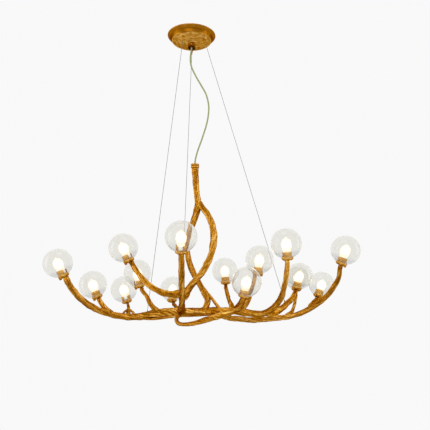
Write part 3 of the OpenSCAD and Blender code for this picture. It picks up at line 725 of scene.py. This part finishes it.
def make_cups():
    """The cups. Each sort of piece has seeds of its own, so that no two of them look alike."""
    half = (math.pi - WINDOW) / 2
    for n, lamp in LAMPS.items():
        shape = Shape()
        bowl(shape, 20 + n)
        jaw(shape, 0, TURN, COLLAR_FOOT, SILL_H, 40 + n)
        for side in (0, 1):
            middle = math.radians(lamp.window - lamp.heading + 180 * side + 90)
            jaw(shape, middle - half, middle + half, SILL_H - JAW_SINK, COLLAR_H,
                60 + 2 * n + side)
        if lamp.twig:
            twig_end(shape, 90 + n)
        cup = shape.build(f"cup_{n:02d}", BRONZE, lamp_place(n))
        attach(cup, "frame")
        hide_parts("lamp_cups")


make_cups()


# ---- Globes: thin blown glass, never quite round, with a rounded edge round the neck.
GLASS_WALL = 1.5
NECK_R = 18.3
GLOBE_RINGS, GLOBE_SIDES = 90, 128


def arc(radius, begin, end):
    """(radius, height) points round the globe's middle, between two angles from its foot."""
    return [(radius * math.sin(t), -radius * math.cos(t))
            for t in np.linspace(begin, end, GLOBE_RINGS)]


def globe(seed):
    """The wall, from the neck's edge over the outside and back inside, and its painted glow at each
    point.
    """
    inner_r = GLOBE_R - GLASS_WALL
    start = math.asin(RIM_R / GLOBE_R)
    inner_start = math.asin((NECK_R + 0.3) / inner_r)
    neck_z = -GLOBE_R * math.cos(start)
    section = arc(GLOBE_R, start, math.pi) + arc(inner_r, math.pi, inner_start)
    section += [(NECK_R, neck_z + 0.6), (NECK_R + 0.3, neck_z + 0.1), (RIM_R - 0.4, neck_z)]
    points = lathe(section + section[:1], GLOBE_SIDES)
    points[..., 2] += SEAT_DEPTH
    height = points[..., 2]
    over_neck = ease((height - 6) / 10)
    # The share of the painted glow, from none at the neck to full higher up.
    painted_glow = ease((height - 14) / 12)
    moved = shake(points, 0.03, 60.0, seed)
    return points + (moved - points) * over_neck[..., None], painted_glow


def make_globes():
    for n in LAMPS:
        shape = Shape()
        points, painted_glow = globe(n)
        shape.grid(points, painted_glow)
        glass = shape.build(f"glass_{n:02d}", GLASS, lamp_place(n))
        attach(glass, f"globe_{n:02d}")
        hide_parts(f"globe_{n:02d}")
        glass.visible_shadow = False


make_globes()


# ---- Bulbs: the CAD envelope as thin opal glass, with a second veil and a lit core inside it.
BELLY_R, BELLY_Z = 17.25, 41.0
TIP_RISE = 23.0          # from the belly to the dome's top
VEIL_SHARE, VEIL_FOOT = 0.90, 25.0
CORE_SHARE = 0.76
CORE_FOOT = 29.0         # height of the core's round underside; the glow thins out below it
BUD_STEP, BUD_SIDES = 2.0, 40


def bulb_inside(share, foot):
    """A bud like the bulb's, of that share of its belly, round below at the foot."""
    belly_r = BELLY_R * share
    top = BELLY_Z + TIP_RISE * share
    below = [(belly_r * math.sin(t), BELLY_Z - (BELLY_Z - foot) * math.cos(t))
             for t in np.linspace(0.02, 1.45, 8)]
    dome = [(belly_r * math.cos(t), BELLY_Z + (top - BELLY_Z) * math.sin(t))
            for t in np.linspace(0, 1.42, 9)]
    return below + dome + [(1.4, top + 0.4), (0.1, top + 1.2)]


def make_bulbs():
    for n in LAMPS:
        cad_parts[f"bulb_{n:02d}"].data.materials[0] = ENVELOPE
        for name, share, foot, material in (("veil", VEIL_SHARE, VEIL_FOOT, VEIL),
                                            ("core", CORE_SHARE, CORE_FOOT, CORE)):
            shape = Shape()
            shape.grid(lathe(round_corners(bulb_inside(share, foot), BUD_STEP), BUD_SIDES))
            piece = shape.build(f"{name}_{n:02d}", material, lamp_place(n))
            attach(piece, f"bulb_{n:02d}")


make_bulbs()


# ---- Canopy: a shallow cast bowl with veins in low relief, a step ring and a hollowed brim.
CANOPY_R = 90.0
CANOPY_SIDES = 240
BRIM_H = 19.0
COVE_R = BRIM_H - 4      # radius of the hollow round the brim
STEP_RING = [(4.6, 1.6), (3.2, 2.8), (1.4, 2.6), (0.2, 1.4)]     # out from the bowl, and down
BOWL_R = CANOPY_R - COVE_R - 5
BOWL_DROP = 15.0
CORD_HOLE_R = 5.3
FLAT_R = 16.0            # of the plain middle that carries the outlet
WALL = 2.2
RELIEF_LIFT, RELIEF_H = 0.9, 1.9
BOSSES = [(-28, -50), (-2, 57), (50, -27)]       # flat rounds that carry the wires' studs
BOSS_R, BOSS_Z = 6.2, -28.0


def bowl_z(r):
    return -BRIM_H - 1 - BOWL_DROP * (1 - (r / BOWL_R) ** 2)


def cove_arc(rim_r, radius, begin, end, count):
    """The brim's hollow as (radius, height) points, between two angles from straight up."""
    return [(rim_r - radius * math.sin(t), -BRIM_H + radius * math.cos(t))
            for t in np.linspace(begin, end, count)]


def canopy_underside():
    """The visible outline, from the ceiling over the brim and the step ring to the cord's hole."""
    brim = [(CANOPY_R - 2.4, 0), (CANOPY_R - 1.2, 0.0), (CANOPY_R - 0.2, -0.5), (CANOPY_R, -1.6)]
    brim += cove_arc(CANOPY_R, COVE_R, 0.12, math.pi / 2, 12)
    step = [(BOWL_R + out, -BRIM_H - down) for out, down in STEP_RING]
    reach = np.linspace(BOWL_R - 0.8, CORD_HOLE_R, 46)
    return np.vstack([round_corners(brim, 1.6), step, np.column_stack([reach, bowl_z(reach)])])


def canopy_inside():
    middle = [CORD_HOLE_R, *np.linspace(FLAT_R, BOWL_R - 2, 9)]
    return ([(r, bowl_z(r) + WALL) for r in middle]
            + cove_arc(CANOPY_R - 2.5, COVE_R + WALL, math.pi / 2, 0.25, 9) + [(CANOPY_R - 2.4, 0)])


def veins(x, y):
    """Low relief like the veins of a leaf: one wandering midrib and forking side veins."""
    bent = grid_noise(x / 21, y / 21, 0, 5) * 7
    along = (x * 0.82 + y * 0.57) + bent
    across = (-x * 0.57 + y * 0.82) + bent * 0.6
    side = np.abs(across) * 0.85 - along
    ribs = np.cos(side / 9.5 * math.pi)
    fine = np.cos((along * 0.9 + np.abs(across) * 0.35) / 3.1 * math.pi)
    midrib = np.exp(-(across / 3.2) ** 2)
    return np.maximum(midrib, 0.62 * np.clip(ribs, 0, 1) ** 2 + 0.22 * fine ** 2)


def canopy_depth(points, relief, in_bowl):
    """Rubbed veins, painted highlights on the step ring's two sides, and painted shade in the brim's
    hollow.
    """
    x, y, z = points[..., 0], points[..., 1], points[..., 2]
    r = np.hypot(x, y)
    marks = grid_noise(x / 9, y / 9, z / 3, 8)
    painted_highlight_sides = ease((np.abs(x) / r - 0.35) / 0.25)
    # Painted highlight: the step ring is lighter only on its left and right.
    ring = np.exp(-((r - BOWL_R - 2.6) / 1.7) ** 2) * painted_highlight_sides
    # Painted shade over the brim, deepest in a painted shadow band in its hollow.
    cove = ease((r - BOWL_R - 1.0) / 1.5)
    shadow = np.exp(-((r - BOWL_R - 7) / 3.2) ** 2)
    depth = (0.25 - 0.32 * relief * in_bowl + (0.2 - 0.16 * cove) * marks - 0.75 * ring
             + 0.22 * cove + 0.35 * shadow * cove)
    return np.clip(depth, 0, 1)


def make_canopy():
    points = lathe(canopy_underside(), CANOPY_SIDES)
    x, y = points[..., 0], points[..., 1]
    r = np.hypot(x, y)
    in_bowl = ease((BOWL_R - r) / 3) * ease((r - FLAT_R + 2) / 4)
    relief = veins(x, y)
    points[..., 2] += in_bowl * (RELIEF_LIFT - RELIEF_H * relief)
    for boss_x, boss_y in BOSSES:
        gap = np.hypot(x - boss_x, y - boss_y)
        share = ease((BOSS_R + 1.6 - gap) / 1.8)
        points[..., 2] = points[..., 2] * (1 - share) + BOSS_Z * share
    depth = canopy_depth(points, relief, in_bowl)
    shape = Shape()
    shape.grid(shake(points, 0.16, 6.0, 3)[:, ::-1], depth[:, ::-1])
    shape.grid(lathe(canopy_inside(), CANOPY_SIDES // 2)[:, ::-1], 0.6)
    canopy = shape.build("cast_canopy", BRONZE)
    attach(canopy, "frame")
    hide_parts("canopy")


# ---- Outlet: the collar under the canopy. Its profile goes out from the collar's radius and up
# from the canopy's middle, and then to the cord's grip inside it.
OUTLET_R = 14.4
OUTLET_WALL = [(-0.8, 0.1), (0, -1.2), (-0.6, -6), (-0.9, -11), (-0.2, -16), (-0.6, -17.6),
               (-1.9, -17.8), (-2.6, -14), (-2.8, -8), (-3.4, -6.8)]
GRIP_TIP = [(4.6, -45.8), (3.2, -46)]
OUTLET_GRIP_R = 8        # the grip lies inside this radius
OUTLET_MOUTH_R = 12.6    # the dark mouth inside this one
OUTLET_SLANT = 0.27      # half of the share by which the collar is shorter on its near side
OUTLET_TURN = math.radians(15)


def make_outlet():
    """The collar under the canopy, whose mouth hangs lower on one side, round the cord's grip."""
    floor = bowl_z(FLAT_R)
    shell = [(5.2, floor + 0.1)] + [(OUTLET_R + out, floor + up) for out, up in OUTLET_WALL]
    shell += [(5.4, floor - 7)] + GRIP_TIP
    points = lathe(round_corners(shell, 0.9), TURNED_SIDES)
    r, heading = polar(points)
    shorter = (r > OUTLET_GRIP_R) * OUTLET_SLANT * (1 - np.sin(heading + OUTLET_TURN))
    points[..., 2] = floor - (floor - points[..., 2]) * (1 - shorter)
    points = shake(points, 0.3, 5, 12)
    mouth = polar(points)[0] < OUTLET_MOUTH_R
    # Painted shade darkens the mouth, inside OUTLET_MOUTH_R.
    depth = 0.72 + 0.2 * np.sin(heading * 7 + points[..., 2] * 0.4) + 0.5 * mouth
    shape = Shape()
    shape.grid(points[:, ::-1], np.clip(depth, 0, 1)[:, ::-1], last_cap=True)
    outlet = shape.build("cast_outlet", BRONZE)
    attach(outlet, "frame")
    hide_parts("cord_outlet")


# ---- Ferrule: two beads round the cord, over the trunk's end. Heights go from its top.
FERRULE_TOP = -491.0
FERRULE_PROFILE = [(3.4, -6), (3.5, -1.2), (5, -0.2), (12.6, -0.1), (14.4, -0.9), (15.4, -3),
                   (14.9, -5.4), (13.6, -6.8), (13.9, -8), (15, -9.6), (15.3, -11.6),
                   (14.6, -13.6), (12.9, -15.6), (12.3, -18), (12, -21)]
FERRULE_WAISTS = [(7.2, 1.6), (16.5, 2.0)]       # how far down each dark waist is, and its height


def make_ferrule():
    profile = [(r, FERRULE_TOP + z) for r, z in FERRULE_PROFILE]
    points = shake(lathe(round_corners(profile), TURNED_SIDES), 0.45, 5, 31)
    heading = polar(points)[1]
    height = points[..., 2] - FERRULE_TOP
    waist = sum(np.exp(-((height + down) / tall) ** 2) for down, tall in FERRULE_WAISTS)
    depth = np.clip(0.25 + 0.6 * waist + 0.2 * np.sin(heading * 9 + height), 0, 1)
    points[..., 0] += CORD_ROUTE[-1][0]
    shape = Shape()
    shape.grid(points[:, ::-1], depth[:, ::-1])
    ferrule = shape.build("cast_ferrule", BRONZE)
    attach(ferrule, "frame")
    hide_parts("trunk_ferrule")


make_canopy()
make_outlet()
make_ferrule()


# ---- CAD nodes whose shape stays, with the material that each gets.
KEPT = {"ceiling_bracket": ZINC, "threaded_nipple": BRASS, "terminal_block": BLOCK,
        "wire_fittings": FITTING_BRONZE, "suspension_wires": STEEL, "lampholders": CERAMIC}
for name, material in KEPT.items():
    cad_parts[name].data.materials[0] = material


# ---- Studio: a white room, soft boxes round the light, and a pale floor.
PAPER = 0.945
ROOM_LOW, ROOM_HIGH = 0.64, 0.86     # the room's light near the floor and overhead
ROOM_LOW_Z, ROOM_HIGH_Z = -0.6, 0.9  # where these are reached, on a sphere of radius 1
FLOOR_BOUNCE = 0.64
FLOOR_R, FLOOR_Z, FLOOR_SIDES = 9.0, -2.6, 64
BOX_AIM = (0, 0, -0.9)


def add_world():
    """Paper white to the camera and through the glass. A dim room, brighter above, to the rest."""
    n = Nodes(bpy.data.worlds.new("studio"))
    bpy.context.scene.world = n.owner
    height = n.add("ShaderNodeSeparateXYZ", {0: n.coords["Generated"]}).outputs["Z"]
    inputs = {"Value": height, "From Min": ROOM_LOW_Z, "From Max": ROOM_HIGH_Z,
              "To Min": ROOM_LOW, "To Max": ROOM_HIGH}
    room_light = n.add("ShaderNodeMapRange", inputs).outputs["Result"]
    room = n.add("ShaderNodeBackground", {"Color": (1, 1, 1, 1), "Strength": room_light})
    paper = n.add("ShaderNodeBackground", {"Color": (PAPER, PAPER, PAPER, 1)})
    inputs = {0: n.looked_at(), 1: room.outputs[0], 2: paper.outputs[0]}
    both = n.add("ShaderNodeMixShader", inputs)
    n.add("ShaderNodeOutputWorld", {"Surface": both.outputs[0]})


def soft_box(name, place, size, power):
    """A soft box that points at the globes. Neither the camera nor the glass shows it."""
    data = bpy.data.lights.new(name, "AREA")
    data.shape = "RECTANGLE"
    data.size, data.size_y = size
    data.energy = power
    light = bpy.data.objects.new(name, data)
    light.location = place
    light.rotation_euler = (Vector(BOX_AIM) - Vector(place)).to_track_quat("-Z", "Y").to_euler()
    light.visible_camera = False
    light.visible_transmission = False
    bpy.context.collection.objects.link(light)


def add_floor():
    """A pale paper floor, as white as the backdrop to the camera, which throws little light back."""
    mesh = bpy.data.meshes.new("floor")
    ring = [(FLOOR_R * math.cos(k / FLOOR_SIDES * TURN), FLOOR_R * math.sin(k / FLOOR_SIDES * TURN),
             FLOOR_Z) for k in range(FLOOR_SIDES)]
    mesh.from_pydata(ring, [], [list(range(FLOOR_SIDES))])
    n = new_material("floor_paper")
    shade = n.scaled(n.looked_at(), FLOOR_BOUNCE, PAPER)
    light = n.add("ShaderNodeEmission", {"Strength": shade})
    n.add("ShaderNodeOutputMaterial", {"Surface": light.outputs[0]})
    mesh.materials.append(n.owner)
    floor = bpy.data.objects.new("floor", mesh)
    bpy.context.collection.objects.link(floor)


def add_studio():
    add_world()
    soft_box("box_top", (0, -0.3, 1.6), (1.6, 1.2), 8)
    soft_box("box_left", (-2.9, -0.4, -0.6), (1.0, 2.4), 18)
    soft_box("box_right", (2.9, -0.3, -0.6), (1.0, 2.4), 15)
    soft_box("box_front", (-0.6, -3.0, -0.5), (1.6, 1.2), 17)
    add_floor()
    bpy.context.scene.view_settings.view_transform = "Standard"


add_studio()
